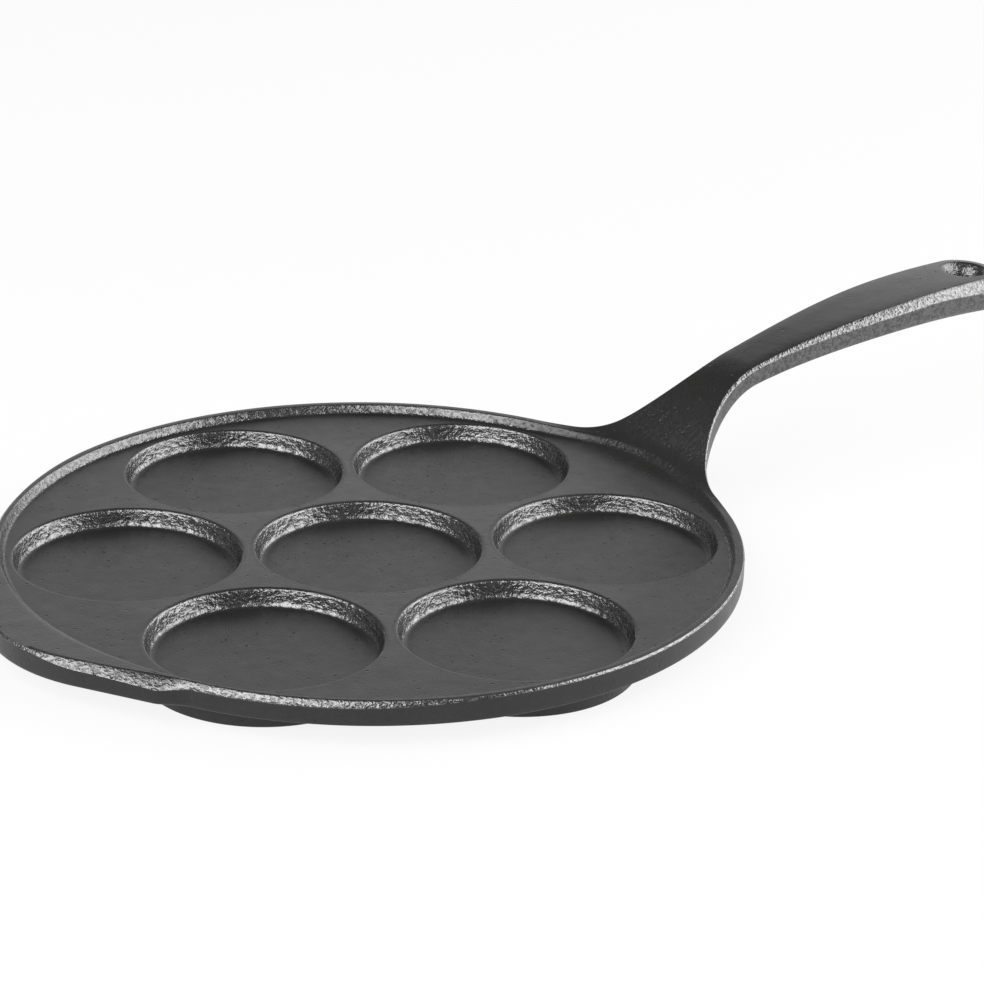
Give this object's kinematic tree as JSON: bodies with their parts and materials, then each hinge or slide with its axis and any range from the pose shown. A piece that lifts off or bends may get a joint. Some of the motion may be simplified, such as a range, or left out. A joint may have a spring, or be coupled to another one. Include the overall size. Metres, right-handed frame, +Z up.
{
  "type": "cast-iron plett pan",
  "caption": "Round cast-iron pan with shallow round wells for small pancakes, a low rim, a rising handle with a hanging hole and a lifting tab.",
  "frame": {"origin": "under the middle of the centre well, on the plane the pan stands on", "axes": "+X towards the handle's end, +Z up, +Y to the left of the handle seen from the pan"},
  "size_m": [0.3911, 0.23, 0.0524],
  "materials": {
    "seasoned_iron": "seasoned, matte on the flats, sand-cast grain on the slopes"
  },
  "bodies": {
    "root": {"cooking_plate": "seasoned_iron", "rim_left": "seasoned_iron", "rim_right": "seasoned_iron", "well_centre_floor": "seasoned_iron", "well_1_floor": "seasoned_iron", "well_2_floor": "seasoned_iron", "well_3_floor": "seasoned_iron", "well_4_floor": "seasoned_iron", "well_5_floor": "seasoned_iron", "well_6_floor": "seasoned_iron", "well_centre_wall": "seasoned_iron", "well_1_wall": "seasoned_iron", "well_2_wall": "seasoned_iron", "well_3_wall": "seasoned_iron", "well_4_wall": "seasoned_iron", "well_5_wall": "seasoned_iron", "well_6_wall": "seasoned_iron", "handle": "seasoned_iron", "front_tab": "seasoned_iron"}
  },
  "joints": []
}
